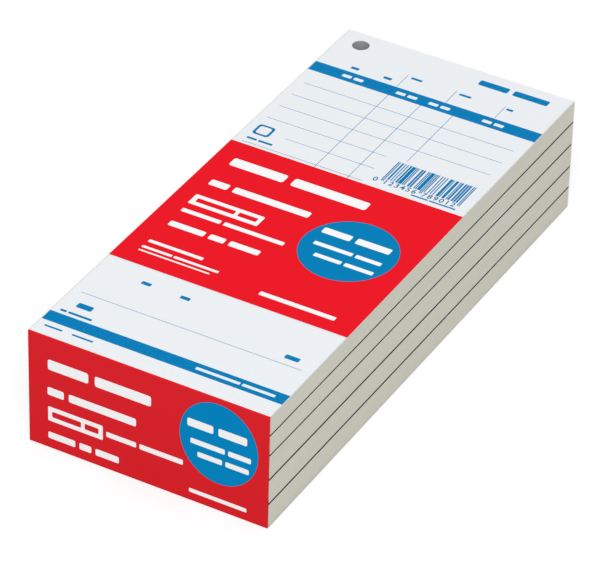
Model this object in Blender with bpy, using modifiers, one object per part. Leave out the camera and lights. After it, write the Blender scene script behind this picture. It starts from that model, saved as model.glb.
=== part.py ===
"""Guest check pads: a pack of glued pads in a printed film wrap that is open at both long sides.

Metres, +Z up. X runs across the checks and +Y towards their glued heads. The origin is the middle of
the pack's underside. Pad 1 is the top one.
"""

import math

import bmesh
import bpy

# Paper
PAD_COUNT = 5
SHEETS_PER_PAD = 100
SHEET_WIDTH = 0.075
SHEET_LENGTH = 0.177
SHEET_THICKNESS = 0.000065
BOARD_THICKNESS = 0.0006

# Hole punched through every sheet and board, measured from the left and head edges
HOLE_DIAMETER = 0.0052
HOLE_FROM_LEFT = 0.0073
HOLE_FROM_HEAD = 0.0059
HOLE_SIDES = 24

# Perforation between the order slip and the bill stub: short paper ties between long cuts
STUB_LENGTH = 0.045
CUT_WIDTH = 0.0003
TIE_PITCH = 0.0025
TIE_WIDTH = 0.0008
TIE_CLEARANCE = 0.0001

# Padding glue, a coat over the head edges of a pad's sheets and board
GLUE_THICKNESS = 0.0003
GLUE_ROUND = 0.0001

# Film wrap
FILM_THICKNESS = 0.00006
FOLD_RADIUS = 0.0003
FOLD_SEGMENTS = 3
LIP_HEIGHT = 0.010
CREASE_GAP = 0.0003
FLAP_FOOT_CLEARANCE = 0.0003

# Clearances
LAYER_GAP = 0.0001
PAD_GAP = 0.0001
WRAP_GAP = 0.00015
LAP_GAP = 0.0001

# Heights
BLOCK_THICKNESS = (SHEETS_PER_PAD - 1) * SHEET_THICKNESS
BOND_HEIGHT = BOARD_THICKNESS + LAYER_GAP + BLOCK_THICKNESS
PAD_HEIGHT = BOND_HEIGHT + LAYER_GAP + SHEET_THICKNESS
PAD_PITCH = PAD_HEIGHT + PAD_GAP
STACK_HEIGHT = PAD_COUNT * PAD_PITCH - PAD_GAP
PACK_HEIGHT = STACK_HEIGHT + 2 * (WRAP_GAP + FILM_THICKNESS)

# Lengths, from the front panel of the film to its back panel
FRONT_WRAP = 2 * FILM_THICKNESS + LAP_GAP + WRAP_GAP
HEAD_WRAP = LAYER_GAP + GLUE_THICKNESS + WRAP_GAP + FILM_THICKNESS
PACK_LENGTH = FRONT_WRAP + SHEET_LENGTH + HEAD_WRAP

# Places
LEFT_X = -SHEET_WIDTH / 2
RIGHT_X = SHEET_WIDTH / 2
FRONT_Y = FRONT_WRAP - PACK_LENGTH / 2
HEAD_Y = FRONT_Y + SHEET_LENGTH
PERFORATION_Y = FRONT_Y + STUB_LENGTH
CREASE_Y = (PACK_LENGTH - FILM_THICKNESS) / 2
CREASE_Z = PACK_HEIGHT - FILM_THICKNESS / 2
FLAP_FRONT_Y = -CREASE_Y
LIP_Y = FLAP_FRONT_Y + FILM_THICKNESS + LAP_GAP


def clear_scene():
    for old in list(bpy.data.objects):
        bpy.data.objects.remove(old, do_unlink=True)


def make_material(name, colour, roughness, alpha=1.0):
    material = bpy.data.materials.new(name)
    material.use_nodes = True
    shader = material.node_tree.nodes["Principled BSDF"]
    shader.inputs["Base Color"].default_value = (*colour, 1.0)
    shader.inputs["Roughness"].default_value = roughness
    shader.inputs["Metallic"].default_value = 0.0
    shader.inputs["Alpha"].default_value = alpha
    return material


def add_empty(name, collection, location):
    empty = bpy.data.objects.new(name, None)
    empty.empty_display_size = 0.01
    empty.location = location
    collection.objects.link(empty)
    return empty


def place(obj, collection, parent, location, material):
    obj.data.materials.append(material)
    collection.objects.link(obj)
    obj.parent = parent
    obj.location = location
    return obj


def rectangle(x_low, x_high, y_low, y_high):
    return [(x_low, y_low), (x_high, y_low), (x_high, y_high), (x_low, y_high)]


def punched_hole(head_y):
    """The rim of the punched hole in a sheet whose head edge lies at head_y."""
    centre_x = LEFT_X + HOLE_FROM_LEFT
    centre_y = head_y - HOLE_FROM_HEAD
    radius = HOLE_DIAMETER / 2
    turns = [2 * math.pi * step / HOLE_SIDES for step in range(HOLE_SIDES)]
    return [(centre_x + radius * math.cos(t), centre_y + radius * math.sin(t)) for t in turns]


def tied_edge(y_base, y_tip):
    """Points from right to left along a torn-off edge: a row of ties that stand from y_base to y_tip."""
    tie_count = max(1, int((SHEET_WIDTH - TIE_WIDTH) / TIE_PITCH))
    first_x = (tie_count - 1) * TIE_PITCH / 2
    points = []
    for tie in range(tie_count):
        centre_x = first_x - tie * TIE_PITCH
        right_x = centre_x + TIE_WIDTH / 2
        left_x = centre_x - TIE_WIDTH / 2
        points += [(right_x, y_base), (right_x, y_tip), (left_x, y_tip), (left_x, y_base)]
    return points


def cut_sheet(name, outlines, thickness):
    """A flat piece cut to its outlines, with its middle plane at the object's origin."""
    curve = bpy.data.curves.new(name, "CURVE")
    curve.dimensions = "2D"
    curve.fill_mode = "BOTH"
    curve.extrude = thickness / 2
    for outline in outlines:
        spline = curve.splines.new("POLY")
        spline.points.add(len(outline) - 1)
        for point, (x, y) in zip(spline.points, outline):
            point.co = (x, y, 0.0, 1.0)
        spline.use_cyclic_u = True
    return bpy.data.objects.new(name, curve)


def build_order_slip(name):
    """The upper part of a check, hinged at its glued head edge, which is y = 0 here."""
    slip_foot = CUT_WIDTH / 2 - (SHEET_LENGTH - STUB_LENGTH)
    body = rectangle(LEFT_X, RIGHT_X, slip_foot, 0.0)
    return cut_sheet(name, [body, punched_hole(0.0)], SHEET_THICKNESS)


def build_bill_stub(name):
    """The lower part of a check, hinged at the perforation, which is y = 0 here. The ties reach across
    the cut and stop just short of the slip."""
    edge_y = -CUT_WIDTH / 2
    tie_tip_y = CUT_WIDTH / 2 - TIE_CLEARANCE
    outline = [(LEFT_X, edge_y), (LEFT_X, -STUB_LENGTH), (RIGHT_X, -STUB_LENGTH), (RIGHT_X, edge_y)]
    return cut_sheet(name, [outline + tied_edge(edge_y, tie_tip_y)], SHEET_THICKNESS)


def build_punched_layer(name, thickness):
    """A whole punched layer, such as the block of sheets or the board, with its head edge at y = 0."""
    body = rectangle(LEFT_X, RIGHT_X, -SHEET_LENGTH, 0.0)
    return cut_sheet(name, [body, punched_hole(0.0)], thickness)


def build_glue_strip(name):
    """The coat of padding glue, a thin slab with softened edges."""
    mesh = bpy.data.meshes.new(name)
    slab = bmesh.new()
    bmesh.ops.create_cube(slab, size=1.0)
    bmesh.ops.scale(slab, vec=(SHEET_WIDTH, GLUE_THICKNESS, BOND_HEIGHT), verts=slab.verts)
    slab.to_mesh(mesh)
    slab.free()
    strip = bpy.data.objects.new(name, mesh)
    soft_edge = strip.modifiers.new("soft_edge", "BEVEL")
    soft_edge.width = min(GLUE_ROUND, GLUE_THICKNESS / 4)
    soft_edge.segments = 2
    return strip


def build_film(name, profile):
    """A strip of film across the pack, folded along a profile of (y, z) points."""
    mesh = bpy.data.meshes.new(name)
    ribbon = bmesh.new()
    left_edge = [ribbon.verts.new((LEFT_X, y, z)) for y, z in profile]
    folds = [ribbon.edges.new(pair) for pair in zip(left_edge, left_edge[1:])]
    swept = bmesh.ops.extrude_edge_only(ribbon, edges=folds)["geom"]
    right_edge = [part for part in swept if isinstance(part, bmesh.types.BMVert)]
    bmesh.ops.translate(ribbon, vec=(SHEET_WIDTH, 0.0, 0.0), verts=right_edge)
    bmesh.ops.recalc_face_normals(ribbon, faces=ribbon.faces)
    ribbon.to_mesh(mesh)
    ribbon.free()
    film = bpy.data.objects.new(name, mesh)
    rounding = film.modifiers.new("fold_radius", "BEVEL")
    rounding.width = FOLD_RADIUS
    rounding.segments = FOLD_SEGMENTS
    rounding.limit_method = "ANGLE"
    gauge = film.modifiers.new("film_gauge", "SOLIDIFY")
    gauge.thickness = FILM_THICKNESS
    gauge.offset = 0.0
    gauge.use_even_offset = True
    return film


def build_pad(number, collection, materials):
    """One pad: a board, a block of sheets, the top check in its two parts, and the glue on their heads."""
    floor_z = FILM_THICKNESS + WRAP_GAP + (PAD_COUNT - number) * PAD_PITCH
    pad = add_empty(f"pad_{number}", collection, (0.0, HEAD_Y, floor_z))

    board = build_punched_layer(f"backing_board_{number}", BOARD_THICKNESS)
    place(board, collection, pad, (0.0, 0.0, BOARD_THICKNESS / 2), materials["board"])

    block = build_punched_layer(f"sheet_block_{number}", BLOCK_THICKNESS)
    block_z = BOND_HEIGHT - BLOCK_THICKNESS / 2
    place(block, collection, pad, (0.0, 0.0, block_z), materials["paper_edges"])

    glue = build_glue_strip(f"glue_strip_{number}")
    glue_y = LAYER_GAP + GLUE_THICKNESS / 2
    place(glue, collection, pad, (0.0, glue_y, BOND_HEIGHT / 2), materials["glue"])

    slip = build_order_slip(f"order_slip_{number}")
    slip_z = PAD_HEIGHT - SHEET_THICKNESS / 2
    place(slip, collection, pad, (0.0, 0.0, slip_z), materials["check_paper"])

    stub = build_bill_stub(f"bill_stub_{number}")
    place(stub, collection, slip, (0.0, PERFORATION_Y - HEAD_Y, 0.0), materials["check_paper"])


def build_wrap(collection, materials):
    """The film in two parts that meet at the crease over the pads' heads. The base runs from a lip in
    front, under the pads and up behind them. The flap runs over the top and down outside the lip."""
    floor_z = FILM_THICKNESS / 2
    base_profile = [
        (LIP_Y, LIP_HEIGHT),
        (LIP_Y, floor_z),
        (CREASE_Y, floor_z),
        (CREASE_Y, CREASE_Z - CREASE_GAP),
    ]
    base = build_film("wrap_base", base_profile)
    place(base, collection, None, (0.0, 0.0, 0.0), materials["film"])

    flap_profile = [
        (-CREASE_GAP, 0.0),
        (FLAP_FRONT_Y - CREASE_Y, 0.0),
        (FLAP_FRONT_Y - CREASE_Y, FLAP_FOOT_CLEARANCE - CREASE_Z),
    ]
    flap = build_film("wrap_flap", flap_profile)
    place(flap, collection, None, (0.0, CREASE_Y, CREASE_Z), materials["printed_film"])


def main():
    clear_scene()
    collection = bpy.data.collections.new("guest_check_pads")
    bpy.context.scene.collection.children.link(collection)
    materials = {
        "check_paper": make_material("check_paper", (0.85, 0.88, 0.90), 0.8),
        "paper_edges": make_material("paper_edges", (0.62, 0.61, 0.54), 0.9),
        "board": make_material("board", (0.50, 0.49, 0.43), 0.9),
        "glue": make_material("glue", (0.80, 0.79, 0.74), 0.4),
        "film": make_material("film", (0.90, 0.92, 0.93), 0.2, alpha=0.25),
        "printed_film": make_material("printed_film", (0.83, 0.02, 0.03), 0.3, alpha=0.6),
    }
    for number in range(1, PAD_COUNT + 1):
        build_pad(number, collection, materials)
    build_wrap(collection, materials)


main()
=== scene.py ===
"""Guest check pads in their film wrap: the looks of every piece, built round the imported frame."""

import math

import bpy
from mathutils import Matrix, Vector


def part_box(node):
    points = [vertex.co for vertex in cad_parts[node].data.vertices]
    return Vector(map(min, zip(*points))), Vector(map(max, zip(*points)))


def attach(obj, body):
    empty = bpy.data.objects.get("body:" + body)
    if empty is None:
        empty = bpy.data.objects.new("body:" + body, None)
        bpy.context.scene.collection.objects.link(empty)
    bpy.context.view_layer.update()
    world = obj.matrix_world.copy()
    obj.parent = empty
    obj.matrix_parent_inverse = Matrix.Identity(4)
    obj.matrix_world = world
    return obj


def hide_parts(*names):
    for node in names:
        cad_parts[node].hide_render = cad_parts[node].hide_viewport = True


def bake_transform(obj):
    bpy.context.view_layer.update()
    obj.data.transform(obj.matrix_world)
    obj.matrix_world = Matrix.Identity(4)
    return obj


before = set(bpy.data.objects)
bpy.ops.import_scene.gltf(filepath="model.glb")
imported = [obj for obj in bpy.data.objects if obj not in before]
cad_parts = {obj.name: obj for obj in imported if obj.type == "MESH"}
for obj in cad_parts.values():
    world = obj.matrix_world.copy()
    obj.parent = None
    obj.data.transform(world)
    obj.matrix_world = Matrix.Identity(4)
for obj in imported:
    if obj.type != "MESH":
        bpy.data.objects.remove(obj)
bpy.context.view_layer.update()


# Lie of the pads
# Pads of thin checks are never quite even, so the joints between these five aren't level: they rise
# towards the foot and sink towards the glued heads. A lattice round each pad leans its pieces with them.

MM = 0.001
PADS = range(1, 6)
JOINT_RISE_AT_FOOT = (0.0, 0.92, 1.70, 0.92, 0.17, 0.0)
JOINT_RISE_AT_HEAD = (0.0, -0.19, -0.45, -0.80, -0.80, 0.0)


def make_lie(number):
    """A lattice round a pad, with its corners moved by the joints over and under the pad."""
    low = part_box(f"backing_board_{number}")[0]
    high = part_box(f"order_slip_{number}")[1]
    bpy.ops.object.add(type="LATTICE", location=(low + high) / 2)
    lie = bpy.context.object
    lie.scale = high - low
    for way in ("u", "v", "w"):
        setattr(lie.data, f"interpolation_type_{way}", "KEY_LINEAR")
    for corner in lie.data.points:
        joint = number - 1 if corner.co.z > 0.0 else number
        rises = JOINT_RISE_AT_HEAD if corner.co.y > 0.0 else JOINT_RISE_AT_FOOT
        corner.co_deform.z += rises[joint] * MM / (high.z - low.z)
    return lie


def pick(piece):
    """Selects a piece alone and makes it the active one."""
    bpy.ops.object.select_all(action="DESELECT")
    piece.select_set(True)
    bpy.context.view_layer.objects.active = piece


def apply_modifiers(piece):
    """Applies all of a piece's modifiers in their order."""
    pick(piece)
    for modifier in list(piece.modifiers):
        bpy.ops.object.modifier_apply(modifier=modifier.name)


def lean(piece, number):
    """Leans one of a pad's pieces as the pad lies."""
    bend = piece.modifiers.new("bend", "LATTICE")
    bend.object = lies[number]
    apply_modifiers(piece)


def remake(node, name, finish, number):
    """A new piece in place of a CAD node of a pad: the same form, leaned as the pad lies."""
    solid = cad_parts[node]
    piece = bpy.data.objects.new(name, solid.data.copy())
    piece.data.transform(solid.matrix_world)
    piece.data.materials.clear()
    piece.data.materials.append(finish)
    bpy.context.scene.collection.objects.link(piece)
    lean(piece, number)
    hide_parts(node)
    return piece


lies = {number: make_lie(number) for number in PADS}


# Backing boards
# Each pad lies on a thin grey board, pressed from waste paper, then cut and punched together with its
# checks and glued to them at the head. Its face shows flecks of old print. Its cut edge is painted near
# black, a painted shade for the dark gap between one pad and the next; the lowest board's edge, which
# has no pad under it, is left pale.

BOARD_PALE = (0.50, 0.48, 0.41, 1.0)
BOARD_DARK = (0.36, 0.35, 0.30, 1.0)
BOARD_FLECK = (0.16, 0.16, 0.15, 1.0)
# The near-black edge colours are painted shade for the gaps between pads; the pale edge colour is for the
# lowest board, which has no gap beneath it.
BOARD_EDGE_GAP_SHADE = (0.034, 0.032, 0.014, 1.0)
BOARD_EDGE_GAP_SHADE_DARK = (0.014, 0.013, 0.005, 1.0)
BOARD_EDGE_UNSHADED = (0.70, 0.69, 0.595, 1.0)
UNSHADED_EDGE_HEIGHT = 0.0012
UNSHADED_EDGE_COVER = (0.85, 1.0)
PULP_GRAINS = 1500.0
FLECK_CELLS = 650.0
FLECK_REACH = (0.10, 0.22)
FLECK_STRENGTH = 0.6
BOARD_ROUGHNESS = (0.82, 0.96)


class Wire:
    """A socket of a material. Sums written with wires add the Math nodes that work them out."""

    def __init__(self, tree, socket):
        self.tree = tree
        self.socket = socket

    def add(self, kind, settings, sockets, output=0):
        """Adds a node of that kind, with its settings and sockets, and gives a wire from its output."""
        node = self.tree.nodes.new(kind)
        for name, value in settings.items():
            setattr(node, name, value)
        for key, value in sockets.items():
            if isinstance(value, Wire):
                self.tree.links.new(value.socket, node.inputs[key])
            else:
                node.inputs[key].default_value = value
        return Wire(self.tree, node.outputs[output])

    def feed(self, shader, socket):
        self.tree.links.new(self.socket, shader.inputs[socket])

    def work_out(self, operation, first, second):
        return self.add("ShaderNodeMath", {"operation": operation}, {0: first, 1: second})

    def __add__(self, other):
        return self.work_out("ADD", self, other)

    __radd__ = __add__

    def __mul__(self, other):
        return self.work_out("MULTIPLY", self, other)

    __rmul__ = __mul__

    def __pow__(self, power):
        return self.work_out("POWER", self, power)

    def __abs__(self):
        return self.work_out("ABSOLUTE", self, 0.0)


def new_finish(name, specular):
    """A new material, its Principled shader, and a wire with the place on the object in metres."""
    finish = bpy.data.materials.new(name)
    finish.use_nodes = True
    tree = finish.node_tree
    shader = tree.nodes["Principled BSDF"]
    shader.inputs["Specular IOR Level"].default_value = specular
    coordinates = tree.nodes.new("ShaderNodeTexCoord")
    return finish, shader, Wire(tree, coordinates.outputs["Object"])


def noise(place, scale, detail=2.0, stretch=(1.0, 1.0, 1.0)):
    """Soft noise from 0 to 1 with that many grains to the metre, squeezed along X, Y and Z by stretch."""
    squeezed = place.add("ShaderNodeMapping", {}, {"Vector": place, "Scale": stretch})
    return place.add("ShaderNodeTexNoise", {}, {"Vector": squeezed, "Scale": scale, "Detail": detail})


def between(value, least, most):
    """A wire that goes from least to most while value goes from 0 to 1."""
    return least + (most - least) * value


def blend_colours(factor, first, second):
    """A wire with the first colour where the factor is 0 and the second where it is 1."""
    sockets = {0: factor, 6: first, 7: second}
    return factor.add("ShaderNodeMix", {"data_type": "RGBA"}, sockets, output=2)


def bump(height, strength, distance):
    """A wire with the normals of a surface that the height raises by up to that distance."""
    sockets = {"Height": height, "Strength": strength, "Distance": distance}
    return height.add("ShaderNodeBump", {}, sockets)


board_finish, shader, place = new_finish("grey_chipboard", specular=0.2)
pulp = noise(place, scale=PULP_GRAINS, detail=4.0)
cells = place.add("ShaderNodeTexVoronoi", {}, {"Vector": place, "Scale": FLECK_CELLS})
fleck_range = {
    "Value": cells,
    "From Min": FLECK_REACH[0],
    "From Max": FLECK_REACH[1],
    "To Min": FLECK_STRENGTH,
    "To Max": 0.0,
}
flecks = place.add("ShaderNodeMapRange", {}, fleck_range)
board_face = blend_colours(flecks, blend_colours(pulp, BOARD_DARK, BOARD_PALE), BOARD_FLECK)
height = place.add("ShaderNodeSeparateXYZ", {}, {0: place}, output="Z")
low_down = place.add("ShaderNodeMath", {"operation": "LESS_THAN"}, {0: height, 1: UNSHADED_EDGE_HEIGHT})
# Board edges are painted near black as the shade in the gaps between pads; low down, on the lowest board,
# where no gap lies beneath, the edge is left pale.
gap_shaded_edge = blend_colours(pulp, BOARD_EDGE_GAP_SHADE_DARK, BOARD_EDGE_GAP_SHADE)
board_edge_with_gap_shade = blend_colours(low_down * between(pulp, *UNSHADED_EDGE_COVER), gap_shaded_edge, BOARD_EDGE_UNSHADED)
facing_way = place.add("ShaderNodeTexCoord", {}, {}, output="Normal")
levelness = abs(place.add("ShaderNodeSeparateXYZ", {}, {0: facing_way}, output="Z"))
blend_colours(levelness, board_edge_with_gap_shade, board_face).feed(shader, "Base Color")
between(pulp, *BOARD_ROUGHNESS).feed(shader, "Roughness")
bump(pulp, strength=0.4, distance=0.00005).feed(shader, "Normal")

for number in PADS:
    board = remake(f"backing_board_{number}", f"pad_{number}_board", board_finish, number)
    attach(board, f"pad_{number}")


# Blocks of checks
# Under its top check each pad has ninety-nine more of thin form paper, white in front and duller behind.
# They are knocked up square, punched and cut on a guillotine, and no two lie quite level with one
# another, so the cut faces show their fine layers.

LEAVES_IN_BLOCK = 33
LEAF_FILL = 0.96
LEAF_STEPS_ACROSS = 6
LEAF_STEPS_ALONG = 18
LEAF_UNEVENNESS = 0.00005
UNEVENNESS_GRAIN = 0.25
LEVEL_FACE = 0.7
HOLE_RADIUS = 0.0026
HOLE_FROM_LEFT = 0.0073
HOLE_FROM_HEAD = 0.0059
HOLE_RIM = 1.004
HOLE_WALL = 1.1
HOLE_SIDES = 32
PUNCH_LEAVES = 10
REST_GAP = 0.00002
PAPER_WHITE = (0.908, 0.940, 0.971, 1.0)
PAPER_SHADE = (0.863, 0.893, 0.924, 1.0)
PAPER_BACK = (0.770, 0.785, 0.795, 1.0)
BACK_TURN = -0.5
FIBRE_SHARE = 0.35
CLOUD_SHARE = 0.25
PAPER_ROUGHNESS = (0.72, 0.90)
EDGE_PALE = (0.775, 0.763, 0.660, 1.0)
EDGE_DARK = (0.629, 0.619, 0.523, 1.0)
# Grey for the paper inside the punched hole: painted shade, far darker than the paper's own cut edges.
HOLE_SHADE_PALE = (0.43, 0.46, 0.48, 1.0)
HOLE_SHADE_DARK = (0.33, 0.35, 0.37, 1.0)
LINE_SHARE = 0.55
BATCH_SHARE = 0.35
EDGE_ROUGHNESS = (0.80, 0.95)

sheet_low, sheet_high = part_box("sheet_block_5")
hole_centre = Vector((sheet_low.x + HOLE_FROM_LEFT, sheet_high.y - HOLE_FROM_HEAD))

paper_finish, shader, place = new_finish("check_paper", specular=0.15)
fibres = noise(place, scale=2600.0, detail=3.0)
cloudiness = noise(place, scale=220.0)
mottle = FIBRE_SHARE * fibres + CLOUD_SHARE * cloudiness
front_face = blend_colours(mottle, PAPER_WHITE, PAPER_SHADE)
back_face = blend_colours(mottle, PAPER_BACK, PAPER_SHADE)
facing_way = place.add("ShaderNodeTexCoord", {}, {}, output="Normal")
upwards = place.add("ShaderNodeSeparateXYZ", {}, {0: facing_way}, output="Z")
at_back = place.add("ShaderNodeMath", {"operation": "LESS_THAN"}, {0: upwards, 1: BACK_TURN})
sheet_face = blend_colours(at_back, front_face, back_face)
level_place = place.add("ShaderNodeVectorMath", {"operation": "MULTIPLY"}, {0: place, 1: (1.0, 1.0, 0.0)})
span = {0: level_place, 1: (*hole_centre, 0.0)}
from_hole = place.add("ShaderNodeVectorMath", {"operation": "DISTANCE"}, span, output="Value")
rim = {0: from_hole, 1: HOLE_RIM * HOLE_RADIUS}
in_shaded_hole = place.add("ShaderNodeMath", {"operation": "LESS_THAN"}, rim)
# Inside the punched hole the paper is painted grey, a painted shade of the hole.
blend_colours(in_shaded_hole, sheet_face, HOLE_SHADE_PALE).feed(shader, "Base Color")
between(fibres, *PAPER_ROUGHNESS).feed(shader, "Roughness")
bump(fibres, strength=0.15, distance=0.00003).feed(shader, "Normal")


def cut_edge_finish(name, pale, dark):
    """The cut edges of a pile of sheets: fine level lines, in bands of slightly different tone."""
    finish, shader, place = new_finish(name, specular=0.1)
    sheet_lines = noise(place, scale=100.0, detail=2.0, stretch=(0.5, 0.5, 90.0))
    batch_tones = noise(place, scale=20.0, detail=2.0, stretch=(0.6, 0.6, 16.0))
    tones = LINE_SHARE * sheet_lines + BATCH_SHARE * batch_tones
    blend_colours(tones, pale, dark).feed(shader, "Base Color")
    between(sheet_lines, *EDGE_ROUGHNESS).feed(shader, "Roughness")
    bump(sheet_lines, strength=0.3, distance=0.00003).feed(shader, "Normal")
    return finish


leaf_finishes = [
    cut_edge_finish("cut_paper_edges", EDGE_PALE, EDGE_DARK),
    paper_finish,
    # The hole's walls take the punched greys, painted shade inside the hole.
    cut_edge_finish("punched_paper_edges", HOLE_SHADE_PALE, HOLE_SHADE_DARK),
]


def settle(size):
    """Stretches the piece just added to a size, and works its place and size into its mesh."""
    piece = bpy.context.object
    piece.scale = size
    bpy.ops.object.transform_apply(location=True, rotation=True, scale=True)
    return piece


def thicken(piece, depth, offset):
    """Gives a surface its depth, to both sides with offset 0 and outwards with offset 1."""
    gauge = piece.modifiers.new("gauge", "SOLIDIFY")
    gauge.thickness = depth
    gauge.offset = offset
    apply_modifiers(piece)


def copy_piece(piece, name, shift=(0.0, 0.0, 0.0)):
    """A copy of a piece with its own mesh, moved by shift."""
    copy = piece.copy()
    copy.data = piece.data.copy()
    copy.name = name
    copy.data.transform(Matrix.Translation(shift))
    bpy.context.scene.collection.objects.link(copy)
    return copy


sheet_width = sheet_high.x - sheet_low.x
sheet_length = sheet_high.y - sheet_low.y
sheet_middle_y = (sheet_high.y + sheet_low.y) / 2
block_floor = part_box("backing_board_5")[1].z + REST_GAP
block_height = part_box("order_slip_5")[0].z - 2 * REST_GAP - block_floor
leaf_pitch = block_height / LEAVES_IN_BLOCK

bpy.ops.object.select_all(action="DESELECT")
bpy.ops.mesh.primitive_cylinder_add(
    vertices=HOLE_SIDES,
    radius=HOLE_RADIUS,
    depth=PUNCH_LEAVES * leaf_pitch,
    location=(*hole_centre, block_floor),
)
punch = bpy.context.object
bpy.ops.object.select_all(action="DESELECT")
bpy.ops.mesh.primitive_grid_add(
    x_subdivisions=LEAF_STEPS_ACROSS,
    y_subdivisions=LEAF_STEPS_ALONG,
    size=1.0,
    location=(0.0, sheet_middle_y, block_floor + leaf_pitch / 2),
)
leaf_block = settle((sheet_width, sheet_length, 1.0))
thicken(leaf_block, LEAF_FILL * leaf_pitch, offset=0.0)
hole = leaf_block.modifiers.new("hole", "BOOLEAN")
hole.operation = "DIFFERENCE"
hole.solver = "EXACT"
hole.object = punch
pile = leaf_block.modifiers.new("pile", "ARRAY")
pile.use_relative_offset = False
pile.use_constant_offset = True
pile.constant_offset_displace = (0.0, 0.0, leaf_pitch)
pile.count = LEAVES_IN_BLOCK
apply_modifiers(leaf_block)
bpy.data.objects.remove(punch)

unevenness = bpy.data.textures.new("leaf_unevenness", "CLOUDS")
unevenness.noise_scale = UNEVENNESS_GRAIN * leaf_pitch
for number in PADS:
    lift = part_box(f"sheet_block_{number}")[0].z - sheet_low.z
    block = copy_piece(leaf_block, f"pad_{number}_leaves", (0.0, 0.0, lift))
    for direction in ("X", "Y"):
        jitter = block.modifiers.new(f"jitter_{direction}", "DISPLACE")
        jitter.texture = unevenness
        jitter.texture_coords = "LOCAL"
        jitter.direction = direction
        jitter.mid_level = 0.5
        jitter.strength = LEAF_UNEVENNESS
    apply_modifiers(block)
    block.data.materials.clear()
    for finish in leaf_finishes:
        block.data.materials.append(finish)
    for face in block.data.polygons:
        at_hole = (face.center.xy - hole_centre).length < HOLE_WALL * HOLE_RADIUS
        if abs(face.normal.z) > LEVEL_FACE:
            face.material_index = 1
        elif at_hole:
            face.material_index = 2
    lean(block, number)
    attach(block, f"pad_{number}")
    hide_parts(f"sheet_block_{number}")
bpy.data.objects.remove(leaf_block)


# Top checks
# The uppermost check of each pad is a slip of thin white form paper in two parts: the order slip, held
# by the glue at its head, and the bill stub, which hangs on the ties of a perforation.

for number in PADS:
    for node, body in (("order_slip", "check"), ("bill_stub", "stub")):
        check = remake(f"{node}_{number}", f"pad_{number}_{node}", paper_finish, number)
        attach(check, body if number == 1 else f"pad_{number}")


# Form print
# The form is printed on every check in one blue ink: a solid head bar over ruled rows and columns, and
# a foot bar and a ruled line on the bill stub. Its headings are short plain bars, of ink or, in the head
# and foot bars, of bare paper.

INK_DEPTH = 0.00001
INK_BLUE = (0.001, 0.216, 0.512, 1.0)
INK_BLUE_THIN = (0.001, 0.230, 0.530, 1.0)
INK_WHITE = (0.94, 0.945, 0.955, 1.0)
INK_WHITE_THIN = (0.91, 0.915, 0.925, 1.0)
THIN_SHARE = 0.5
INK_ROUGHNESS = (0.38, 0.54)
CORNER_STEPS = 4
WORD_CORNER = 0.2
WORD_SPACE = 0.6
RULE = 0.17
FORM_LEFT = 2.9
FORM_RIGHT = 71.8
BAR_ENDS = (0.2, 74.8)
HEAD_BAR = (151.83, 156.82)
ROW_PITCH = 7.12
FIRST_ROW = 144.65
ROW_COUNT = 14
COLUMNS = (27.1, 37.7, 48.3)
HEAD_TICKS = (27.05, 43.2, 59.15)
TICK_SPAN = (157.05, 164.2)
FOOT_BAR = (6.2, 10.62)
STUB_RULE = 21.95


def ink_finish(name, solid, thin):
    """Printing ink: nearly even, a little thinner here and there, and almost without gloss."""
    finish, shader, place = new_finish(name, specular=0.01)
    coverage = noise(place, scale=900.0, detail=3.0)
    blend_colours(THIN_SHARE * coverage, solid, thin).feed(shader, "Base Color")
    between(coverage, *INK_ROUGHNESS).feed(shader, "Roughness")
    return finish


blue_finish = ink_finish("blue_ink", INK_BLUE, INK_BLUE_THIN)
white_finish = ink_finish("white_ink", INK_WHITE, INK_WHITE_THIN)


class Face:
    """A printed face with a millimetre grid: across from its left edge and up from its foot."""

    def __init__(self, corner, tilt=0.0):
        self.corner = Vector(corner)
        self.tilt = tilt
        self.turn = Matrix.Rotation(tilt, 3, "X")

    def spot(self, across, up):
        """The place in the scene of a place on the grid."""
        return self.corner + self.turn @ Vector((across * MM, up * MM, 0.0))

    def stretch(self, across, up):
        """The factors along X, Y and Z that stretch ink by across and up on the face."""
        return [abs(amount) for amount in self.turn @ Vector((across, up, 1.0))]

    def raised(self, height):
        """The same face one height further out, for a next layer of ink."""
        return Face(self.corner + self.turn @ Vector((0.0, 0.0, height)), self.tilt)


def open_print(name):
    """Starts an empty mesh and opens it in edit mode, for ink to be laid in it."""
    bpy.ops.object.select_all(action="DESELECT")
    bpy.ops.object.add(type="MESH", enter_editmode=True)
    bpy.context.object.name = name


def lay_bar(face, left, right, low, high, corner=0.0):
    """Lays a bar of ink in the open mesh, with rounded corners if a corner radius is given."""
    middle = face.spot((left + right) / 2, (low + high) / 2)
    bpy.ops.mesh.select_all(action="DESELECT")
    bpy.ops.mesh.primitive_plane_add(size=MM, location=middle, rotation=(face.tilt, 0.0, 0.0))
    bpy.ops.transform.resize(value=face.stretch(right - left, high - low), center_override=middle)
    if corner:
        bpy.ops.mesh.bevel(offset=corner * MM, segments=CORNER_STEPS, affect="VERTICES")


def lay_words(face, left, middle, height, lengths):
    """Lays a line of plain rounded bars, one for each length."""
    low = middle - height / 2
    for length in lengths:
        lay_bar(face, left, left + length, low, low + height, corner=WORD_CORNER * height)
        left += length + WORD_SPACE * height


def close_print(depth, finish):
    """Gives the open mesh its depth of ink and its finish."""
    bpy.ops.object.mode_set(mode="OBJECT")
    ink = bpy.context.object
    thicken(ink, depth, offset=1.0)
    ink.data.materials.append(finish)
    return ink


slip_low, slip_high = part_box("order_slip_1")
stub_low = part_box("bill_stub_1")[0]
form = Face((stub_low.x, stub_low.y, slip_high.z))
over_form = form.raised(INK_DEPTH)

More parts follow.
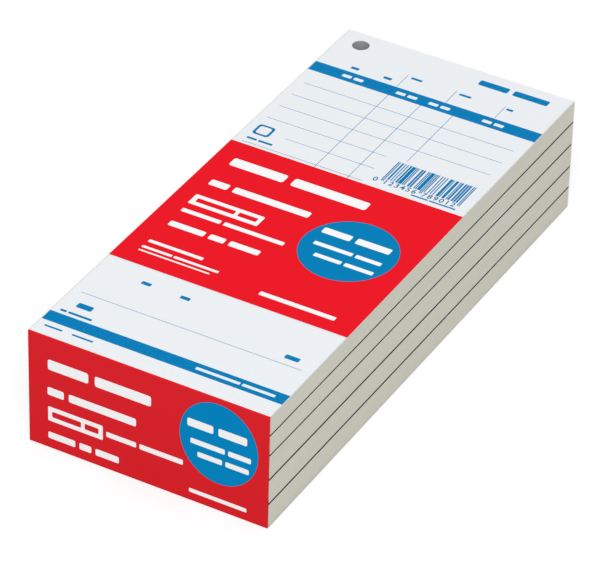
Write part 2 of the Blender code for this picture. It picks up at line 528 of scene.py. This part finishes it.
open_print("slip_print")
lay_bar(form, *BAR_ENDS, *HEAD_BAR)
for row in range(ROW_COUNT):
    height = FIRST_ROW - row * ROW_PITCH
    lay_bar(form, FORM_LEFT, FORM_RIGHT, height - RULE / 2, height + RULE / 2)
last_row = FIRST_ROW - (ROW_COUNT - 1) * ROW_PITCH
for column in COLUMNS:
    lay_bar(form, column - RULE / 2, column + RULE / 2, last_row, HEAD_BAR[0])
for tick in HEAD_TICKS:
    lay_bar(form, tick - RULE / 2, tick + RULE / 2, *TICK_SPAN)
lay_words(form, left=46.6, middle=171.8, height=2.7, lengths=(9.6, 11.4))
lay_words(form, left=10.7, middle=159.2, height=1.2, lengths=(2.6,))
lay_words(form, left=21.4, middle=159.5, height=1.2, lengths=(2.6,))
lay_words(form, left=28.5, middle=163.3, height=1.0, lengths=(3.6,))
lay_words(form, left=44.6, middle=163.0, height=1.0, lengths=(3.8,))
lay_words(form, left=59.9, middle=163.1, height=1.0, lengths=(2.2,))
slip_print = close_print(INK_DEPTH, blue_finish)

open_print("slip_reverse_print")
for left in (10.5, 28.4, 39.2, 56.7):
    lay_words(over_form, left=left, middle=154.25, height=1.4, lengths=(3.0, 3.0))
slip_reverse = close_print(INK_DEPTH, paper_finish)

open_print("stub_print")
lay_bar(form, *BAR_ENDS, *FOOT_BAR)
lay_bar(form, FORM_LEFT, FORM_RIGHT, STUB_RULE - RULE / 2, STUB_RULE + RULE / 2)
lay_words(form, left=5.2, middle=16.4, height=2.2, lengths=(4.8,))
lay_words(form, left=2.4, middle=12.2, height=0.9, lengths=(2.0, 7.4))
lay_words(form, left=14.6, middle=34.4, height=1.4, lengths=(3.0,))
lay_words(form, left=27.1, middle=34.1, height=1.4, lengths=(3.0,))
lay_words(form, left=64.8, middle=25.4, height=1.8, lengths=(4.4,))
lay_words(form, left=2.5, middle=4.0, height=0.7, lengths=(5.6,))
lay_words(form, left=11.2, middle=4.0, height=0.7, lengths=(6.6,))
stub_print = close_print(INK_DEPTH, blue_finish)

open_print("stub_reverse_print")
lay_words(over_form, left=47.2, middle=8.4, height=1.1, lengths=(13.6, 10.0))
stub_reverse = close_print(INK_DEPTH, paper_finish)

for pattern in (slip_print, slip_reverse, stub_print, stub_reverse):
    part = "stub" if pattern.name.startswith("stub") else "check"
    for number in PADS:
        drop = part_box(f"order_slip_{number}")[1].z - slip_high.z
        copy = copy_piece(pattern, f"pad_{number}_{pattern.name}", (0.0, 0.0, drop))
        lean(copy, number)
        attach(copy, part if number == 1 else f"pad_{number}")
    next_check = slip_low.z - 2 * REST_GAP - slip_high.z
    copy = copy_piece(pattern, f"pad_1_next_{pattern.name}", (0.0, 0.0, next_check))
    lean(copy, 1)
    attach(copy, "pad_1")
    bpy.data.objects.remove(pattern)


# Padding glue
# The heads of each pad's checks and board are brushed with white padding glue, which dries to a thin
# rubbery coat. The brush leaves it uneven, with soft edges and faint streaks.

GLUE_PALE = (0.82, 0.82, 0.78, 1.0)
GLUE_DARK = (0.70, 0.69, 0.63, 1.0)
GLUE_CUTS = 22
GLUE_ROUND = 0.0001
GLUE_ROUND_STEPS = 2
GLUE_UNEVENNESS = 0.0002
GLUE_LUMP = 0.004
GLUE_MIDDLE = 0.8
GLUE_BITE = 0.0001
GLUE_ROUGHNESS = (0.30, 0.55)

glue_finish, shader, place = new_finish("dried_padding_glue", specular=0.4)
streaks = noise(place, scale=60.0, detail=4.0, stretch=(1.0, 1.0, 14.0))
blend_colours(streaks, GLUE_PALE, GLUE_DARK).feed(shader, "Base Color")
between(streaks, *GLUE_ROUGHNESS).feed(shader, "Roughness")
bump(streaks, strength=0.5, distance=0.0001).feed(shader, "Normal")

lumps = bpy.data.textures.new("glue_lumps", "CLOUDS")
lumps.noise_scale = GLUE_LUMP
for number in PADS:
    glue_low, glue_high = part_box(f"glue_strip_{number}")
    glue_low.y -= GLUE_BITE
    bpy.ops.object.select_all(action="DESELECT")
    bpy.ops.mesh.primitive_cube_add(size=1.0, location=(glue_low + glue_high) / 2)
    glue = settle(glue_high - glue_low)
    glue.name = f"pad_{number}_glue"
    bpy.ops.object.mode_set(mode="EDIT")
    bpy.ops.mesh.select_all(action="SELECT")
    bpy.ops.mesh.bevel(offset=GLUE_ROUND, segments=GLUE_ROUND_STEPS)
    bpy.ops.mesh.subdivide(number_cuts=GLUE_CUTS)
    bpy.ops.object.mode_set(mode="OBJECT")
    coat = glue.modifiers.new("brushed_coat", "DISPLACE")
    coat.texture = lumps
    coat.texture_coords = "LOCAL"
    coat.direction = "Y"
    coat.mid_level = GLUE_MIDDLE
    coat.strength = GLUE_UNEVENNESS
    apply_modifiers(glue)
    bpy.ops.object.shade_smooth()
    glue.data.materials.append(glue_finish)
    lean(glue, number)
    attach(glue, f"pad_{number}")
    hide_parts(f"glue_strip_{number}")

for lie in lies.values():
    bpy.data.objects.remove(lie)


# Film wrap
# One strip of clear packing film goes round the pads from front to back and leaves their long sides
# open. It lies on the top check, is creased over the glued heads, and is sealed over a lip low on the
# front.

FILM_TINT = (0.015, 0.020, 0.025, 1.0)
FILM_HAZE = 0.018
FILM_SLANT_HAZE = 0.18
FILM_SLANT_POWER = 6.0
FILM_RIM_HAZE = 0.12
FILM_RIM = 0.00015
FILM_ROUGHNESS = (0.10, 0.22)
FILM_GAUGE = 0.00005
FILM_REST = 0.00005
FOLD_RADIUS = 0.0003
FOLD_SEGMENTS = 5
FILM_STEPS_ACROSS = 15
FILM_STEPS_ALONG = 36
LIP_HEIGHT = 0.010
BACK_JOIN = 0.020
SMOOTH_ANGLE = math.radians(40.0)

flap_low, flap_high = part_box("wrap_flap")
base_low, base_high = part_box("wrap_base")

film_finish, shader, place = new_finish("clear_film", specular=0.5)
shader.inputs["Base Color"].default_value = FILM_TINT
slack = noise(place, scale=90.0, detail=2.0, stretch=(1.0, 0.35, 1.0))
between(slack, *FILM_ROUGHNESS).feed(shader, "Roughness")
bump(slack, strength=0.10, distance=0.0001).feed(shader, "Normal")
grazing = place.add("ShaderNodeLayerWeight", {}, {}, output="Facing")
from_middle = abs(place.add("ShaderNodeSeparateXYZ", {}, {0: place}, output="X"))
past_rim = {0: from_middle, 1: flap_high.x - FILM_RIM}
at_rim = place.add("ShaderNodeMath", {"operation": "GREATER_THAN"}, past_rim)
slant_haze = FILM_SLANT_HAZE * grazing**FILM_SLANT_POWER
(FILM_HAZE + slant_haze + FILM_RIM_HAZE * at_rim).feed(shader, "Alpha")

film_width = flap_high.x - flap_low.x
half_gauge = FILM_GAUGE / 2
film_top = slip_high.z + FILM_REST + half_gauge
film_front = flap_low.y + half_gauge
film_back = base_high.y - half_gauge
film_floor = base_low.z + half_gauge
lip_front = base_low.y + half_gauge


def select_edges(mesh, test):
    """In edit mode, selects just the edges whose two ends both pass a test on their place."""
    bpy.ops.mesh.select_mode(type="EDGE")
    bpy.ops.mesh.select_all(action="DESELECT")
    bpy.ops.object.mode_set(mode="OBJECT")
    for edge in mesh.edges:
        edge.select = all(test(mesh.vertices[end].co) for end in edge.vertices)
    bpy.ops.object.mode_set(mode="EDIT")


def fold_film(name, front_y, back_y, level, front_end, back_end):
    """A level panel of film that is folded at its front and back edges on to the heights given."""
    bpy.ops.object.select_all(action="DESELECT")
    bpy.ops.mesh.primitive_grid_add(
        x_subdivisions=FILM_STEPS_ACROSS,
        y_subdivisions=FILM_STEPS_ALONG,
        size=1.0,
        location=(0.0, (front_y + back_y) / 2, level),
    )
    film = settle((film_width, back_y - front_y, 1.0))
    film.name = name
    bpy.ops.object.mode_set(mode="EDIT")
    for fold_y, end in ((front_y, front_end), (back_y, back_end)):
        def on_fold(spot):
            return abs(spot.y - fold_y) < half_gauge and abs(spot.z - level) < half_gauge

        select_edges(film.data, on_fold)
        bpy.ops.mesh.extrude_edges_move(TRANSFORM_OT_translate={"value": (0.0, 0.0, end - level)})
        select_edges(film.data, on_fold)
        bpy.ops.mesh.bevel(offset=FOLD_RADIUS, segments=FOLD_SEGMENTS, affect="EDGES")
    bpy.ops.mesh.select_all(action="SELECT")
    bpy.ops.mesh.normals_make_consistent(inside=False)
    bpy.ops.object.mode_set(mode="OBJECT")
    return film


def finish_film(film):
    """Gives folded film its gauge, its smooth folds and its finish."""
    thicken(film, FILM_GAUGE, offset=0.0)
    bpy.ops.object.shade_smooth_by_angle(angle=SMOOTH_ANGLE)
    film.data.materials.append(film_finish)


film_over = fold_film("wrap_over", film_front, film_back, film_top, film_floor, BACK_JOIN)
front_sheet = copy_piece(film_over, "front_print")
finish_film(film_over)
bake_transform(film_over)
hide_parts("wrap_flap")

film_under = fold_film("wrap_under", lip_front, film_back, film_floor, film_floor + LIP_HEIGHT, BACK_JOIN)
finish_film(film_under)
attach(film_under, "wrap")
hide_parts("wrap_base")


# Film print, top
# The film carries a broad red band with white bars and a blue roundel. Above the band its inner face has
# two white patches that hide the form, one under a plain mark and one under a bar code.

PRINT_DEPTH = 0.00001
PRINT_GAP = 0.000005
INNER_PRINT_GAP = 0.000015
FILM_BLUE = (0.001, 0.206, 0.472, 1.0)
FILM_BLUE_THIN = (0.001, 0.222, 0.490, 1.0)
INK_RED = (0.835, 0.0090, 0.0195, 1.0)
INK_RED_THIN = (0.820, 0.0110, 0.0215, 1.0)
PATCH_WHITE = (0.897, 0.929, 0.960, 1.0)
PATCH_WHITE_THIN = (0.887, 0.919, 0.950, 1.0)
BAND = (0.0, 75.0, 41.1, 107.7)
CODE_PATCH = (42.1, 75.0, 107.7, 124.2)
MARK_PATCH = (0.0, 12.8, 109.7, 121.5)
ROUNDEL = (55.75, 76.5, 14.2, 14.55)
ROUNDEL_SIDES = 96
BAND_BOX = (5.7, 28.0, 73.7, 78.7)
BOX_CORNER = 0.4
CODE_LEFT = 46.4
CODE_MODULE = 0.264
CODE_INK_SPREAD = 0.04
CODE_SPAN = (113.1, 122.7)
CODE_GUARD_FOOT = 111.9
CODE_GUARD = "111"
CODE_CENTRE = "11111"
CODE_RUNS = ("3211", "2221", "2122", "1411", "1132", "1231", "1114", "1312", "1213", "3112")
CODE_NUMBERS = (("code_first", "0", 44.1), ("code_left", "123456", 47.3), ("code_right", "789012", 59.7))
CODE_NUMBER_FOOT = 110.8
CODE_NUMBER_SIZE = 0.0029
CODE_NUMBER_SPACING = 1.27
CODE_NUMBER_BOLDNESS = 0.00005
CODE_NUMBER_STEPS = 4
CODE_NUMBER_MERGE = 0.00001

film_blue_finish = ink_finish("film_blue_ink", FILM_BLUE, FILM_BLUE_THIN)
red_finish = ink_finish("red_ink", INK_RED, INK_RED_THIN)
patch_finish = ink_finish("white_underlay", PATCH_WHITE, PATCH_WHITE_THIN)


def lay_disc(face, across, up, radius_across, radius_up):
    """Lays an oval of ink in the open mesh."""
    middle = face.spot(across, up)
    bpy.ops.mesh.select_all(action="DESELECT")
    bpy.ops.mesh.primitive_circle_add(
        vertices=ROUNDEL_SIDES,
        radius=MM,
        fill_type="NGON",
        location=middle,
        rotation=(face.tilt, 0.0, 0.0),
    )
    bpy.ops.transform.resize(value=face.stretch(radius_across, radius_up), center_override=middle)


def finish_print(ink):
    """Lets a piece of the film's print ride on the flap."""
    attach(ink, "flap")


top = Face((stub_low.x, stub_low.y, film_top + half_gauge + PRINT_GAP))
top_second = top.raised(PRINT_DEPTH)
top_third = top.raised(2 * PRINT_DEPTH)
inner = Face((stub_low.x, stub_low.y, slip_high.z + INNER_PRINT_GAP))
inner_second = inner.raised(PRINT_DEPTH)
inner_third = inner.raised(2 * PRINT_DEPTH)

open_print("band_print")
lay_bar(top, *BAND)
finish_print(close_print(PRINT_DEPTH, red_finish))

open_print("patch_print")
lay_bar(inner, *CODE_PATCH)
lay_bar(inner, *MARK_PATCH)
finish_print(close_print(PRINT_DEPTH, patch_finish))

open_print("roundel_print")
lay_disc(top_second, *ROUNDEL)
finish_print(close_print(PRINT_DEPTH, film_blue_finish))

open_print("code_print")
left_runs, right_runs = ([CODE_RUNS[int(digit)] for digit in row[1]] for row in CODE_NUMBERS[1:])
left = CODE_LEFT
inked = True
for runs in (CODE_GUARD, *left_runs, CODE_CENTRE, *right_runs, CODE_GUARD):
    foot = CODE_GUARD_FOOT if runs in (CODE_GUARD, CODE_CENTRE) else CODE_SPAN[0]
    for modules in runs:
        right = left + int(modules) * CODE_MODULE
        if inked:
            lay_bar(inner_second, left - CODE_INK_SPREAD, right + CODE_INK_SPREAD, foot, CODE_SPAN[1])
        left = right
        inked = not inked
lay_words(inner_second, left=57.2, middle=109.9, height=0.6, lengths=(5.4, 8.4))
lay_words(inner_second, left=3.0, middle=116.5, height=5.4, lengths=(5.4,))
lay_words(inner_second, left=3.1, middle=111.3, height=0.9, lengths=(3.2, 4.6))
finish_print(close_print(PRINT_DEPTH, film_blue_finish))

for name, digits, left in CODE_NUMBERS:
    bpy.ops.object.select_all(action="DESELECT")
    bpy.ops.object.text_add()
    number = bpy.context.object
    number.name = name
    number.data.body = digits
    number.data.size = CODE_NUMBER_SIZE
    number.data.space_character = CODE_NUMBER_SPACING
    number.data.offset = CODE_NUMBER_BOLDNESS
    number.data.resolution_u = CODE_NUMBER_STEPS
    bpy.ops.object.convert(target="MESH")
    bpy.ops.object.mode_set(mode="EDIT")
    bpy.ops.mesh.select_all(action="SELECT")
    bpy.ops.mesh.remove_doubles(threshold=CODE_NUMBER_MERGE)
    bpy.ops.object.mode_set(mode="OBJECT")
    number.data.transform(Matrix.Translation(inner_second.spot(left, CODE_NUMBER_FOOT)))
    thicken(number, PRINT_DEPTH, offset=1.0)
    number.data.materials.append(film_blue_finish)
    finish_print(number)

open_print("mark_reverse_print")
lay_words(inner_third, left=3.8, middle=116.5, height=3.8, lengths=(3.8,))
finish_print(close_print(PRINT_DEPTH, patch_finish))

open_print("band_words")
lay_words(top_second, left=5.8, middle=98.1, height=3.9, lengths=(17.6, 24.2))
lay_words(top_second, left=5.8, middle=86.0, height=2.8, lengths=(6.0, 24.6))
lay_bar(top_second, *BAND_BOX, corner=BOX_CORNER)
lay_words(top_second, left=6.0, middle=70.1, height=1.7, lengths=(12.6, 19.2))
lay_words(top_second, left=6.4, middle=62.7, height=2.4, lengths=(11.4, 5.0, 9.6))
lay_words(top_second, left=6.0, middle=52.3, height=1.3, lengths=(17.4,))
lay_words(top_second, left=5.8, middle=49.1, height=1.0, lengths=(9.6, 14.2))
lay_words(top_second, left=5.8, middle=47.2, height=0.6, lengths=(22.6,))
lay_words(top_second, left=44.6, middle=46.7, height=1.7, lengths=(23.6,))
finish_print(close_print(PRINT_DEPTH, white_finish))

open_print("roundel_words")
lay_words(top_third, left=44.6, middle=82.0, height=2.7, lengths=(9.0, 10.8))
lay_words(top_third, left=45.4, middle=75.4, height=1.6, lengths=(12.2, 8.0))
lay_words(top_third, left=48.2, middle=70.4, height=1.6, lengths=(8.6, 9.0))
finish_print(close_print(PRINT_DEPTH, white_finish))

open_print("band_box_words")
lay_words(top_third, left=7.2, middle=76.2, height=1.9, lengths=(12.4, 6.0))
finish_print(close_print(PRINT_DEPTH, red_finish))


# Film print, front end
# The film's front panel is printed in a deeper red from its foot to just over the fold. It repeats
# the band's white bars and its blue roundel in a smaller size. The front roundel's blue is set lighter
# than the band's: painted light that makes up for the lesser light on the front panel.

INK_DEEP_RED = (0.697, 0.0165, 0.0235, 1.0)
INK_DEEP_RED_THIN = (0.682, 0.0180, 0.0250, 1.0)
# A lighter copy of the film's blue: painted light for the front panel, which gets less light than the top.
FRONT_BLUE_PAINTED_LIGHT = (0.001, 0.228, 0.520, 1.0)
FRONT_BLUE_THIN_PAINTED_LIGHT = (0.001, 0.244, 0.540, 1.0)
FRONT_ROUNDEL = (59.6, 22.2, 12.08, 13.22)
FRONT_BOX = (6.1, 23.5, 9.2, 14.0)

deep_red_finish = ink_finish("deep_red_ink", INK_DEEP_RED, INK_DEEP_RED_THIN)
front_blue_lit_finish = ink_finish("front_blue_ink_painted_light", FRONT_BLUE_PAINTED_LIGHT, FRONT_BLUE_THIN_PAINTED_LIGHT)

pick(front_sheet)
bpy.ops.object.mode_set(mode="EDIT")
bpy.ops.mesh.select_all(action="SELECT")
bpy.ops.mesh.bisect(plane_co=(0.0, stub_low.y, 0.0), plane_no=(0.0, 1.0, 0.0), clear_outer=True)
bpy.ops.object.mode_set(mode="OBJECT")
thicken(front_sheet, half_gauge + PRINT_DEPTH, offset=1.0)
bpy.ops.object.shade_smooth_by_angle(angle=SMOOTH_ANGLE)
front_sheet.data.materials.append(deep_red_finish)
finish_print(front_sheet)

front = Face((stub_low.x, flap_low.y, 0.0), tilt=math.pi / 2)
front_second = front.raised(PRINT_DEPTH)
front_third = front.raised(2 * PRINT_DEPTH)

# The front roundel is laid in the lighter blue, painted light for the less lit front panel.
open_print("front_roundel_print")
lay_disc(front_second, *FRONT_ROUNDEL)
finish_print(close_print(PRINT_DEPTH, front_blue_lit_finish))

open_print("front_words")
lay_words(front_second, left=6.2, middle=28.1, height=3.4, lengths=(12.8, 17.6))
lay_words(front_second, left=6.0, middle=19.2, height=2.6, lengths=(5.2, 21.2))
lay_bar(front_second, *FRONT_BOX, corner=BOX_CORNER)
lay_words(front_second, left=24.6, middle=11.7, height=1.7, lengths=(9.4, 13.6))
lay_words(front_second, left=6.1, middle=4.3, height=2.2, lengths=(8.6, 3.8, 7.4))
lay_words(front_second, left=50.6, middle=3.4, height=1.3, lengths=(17.8,))
finish_print(close_print(PRINT_DEPTH, white_finish))

open_print("front_roundel_words")
lay_words(front_third, left=49.9, middle=26.2, height=2.6, lengths=(8.0, 8.8))
lay_words(front_third, left=50.9, middle=20.3, height=1.7, lengths=(10.6, 7.0))
lay_words(front_third, left=53.1, middle=16.4, height=1.7, lengths=(7.6, 7.2))
finish_print(close_print(PRINT_DEPTH, white_finish))

open_print("front_box_words")
lay_words(front_third, left=7.4, middle=11.6, height=1.9, lengths=(9.2, 4.4))
finish_print(close_print(PRINT_DEPTH, deep_red_finish))


# Floor, light and camera
# The pack lies on a white table in even light from all round, with one large soft box above its right
# front corner. The camera looks down from beyond that corner through a long lens.

FLOOR_SIZE = 6.0
FLOOR_LEVEL = -0.0001
FLOOR_GREY = 0.50
FLOOR_GLOW = 0.56
WORLD_STRENGTH = 0.62
KEY_PLACE = (1.75, -3.10, 3.50)
KEY_POWER = 152.0
KEY_SIZE = 3.0
CAMERA_PLACE = (0.47834, -0.88085, 0.72718)
CAMERA_TURN = (54.522, -1.283, 29.589)
CAMERA_LENS = 261.187
CAMERA_SENSOR = 36.0


def seen_rays(tree):
    """A wire that is 1 for what the camera sees, straight or by gloss, and 0 for light on the pack."""
    rays = tree.nodes.new("ShaderNodeLightPath")
    return sum(Wire(tree, rays.outputs[f"Is {kind} Ray"]) for kind in ("Camera", "Glossy", "Transmission"))


bpy.ops.object.select_all(action="DESELECT")
bpy.ops.mesh.primitive_plane_add(size=FLOOR_SIZE, location=(0.0, 0.0, FLOOR_LEVEL))
floor = bpy.context.object
floor.name = "floor"
floor_finish, shader, place = new_finish("white_table", specular=0.0)
shader.inputs["Base Color"].default_value = (FLOOR_GREY, FLOOR_GREY, FLOOR_GREY, 1.0)
shader.inputs["Roughness"].default_value = 1.0
tree = floor_finish.node_tree
glow = place.add("ShaderNodeEmission", {}, {"Strength": seen_rays(tree) * FLOOR_GLOW})
both = place.add("ShaderNodeAddShader", {}, {0: Wire(tree, shader.outputs[0]), 1: glow})
both.feed(tree.nodes["Material Output"], "Surface")
floor.data.materials.append(floor_finish)

world = bpy.data.worlds.new("studio")
world.use_nodes = True
bpy.context.scene.world = world
tree = world.node_tree
background = tree.nodes["Background"]
background.inputs["Color"].default_value = (1.0, 1.0, 1.0, 1.0)
(WORLD_STRENGTH + (1.0 - WORLD_STRENGTH) * seen_rays(tree)).feed(background, "Strength")

key = bpy.data.lights.new("key_light", "AREA")
key.energy = KEY_POWER
key.size = KEY_SIZE
key_box = bpy.data.objects.new("key_light", key)
key_box.location = KEY_PLACE
key_box.rotation_euler = Vector(KEY_PLACE).to_track_quat("Z", "Y").to_euler()
bpy.context.scene.collection.objects.link(key_box)

camera_data = bpy.data.cameras.new("camera")
camera_data.lens = CAMERA_LENS
camera_data.sensor_width = CAMERA_SENSOR
camera = bpy.data.objects.new("camera", camera_data)
camera.location = CAMERA_PLACE
camera.rotation_euler = [math.radians(angle) for angle in CAMERA_TURN]
bpy.context.scene.collection.objects.link(camera)
bpy.context.scene.camera = camera
bpy.context.scene.view_settings.view_transform = "Standard"
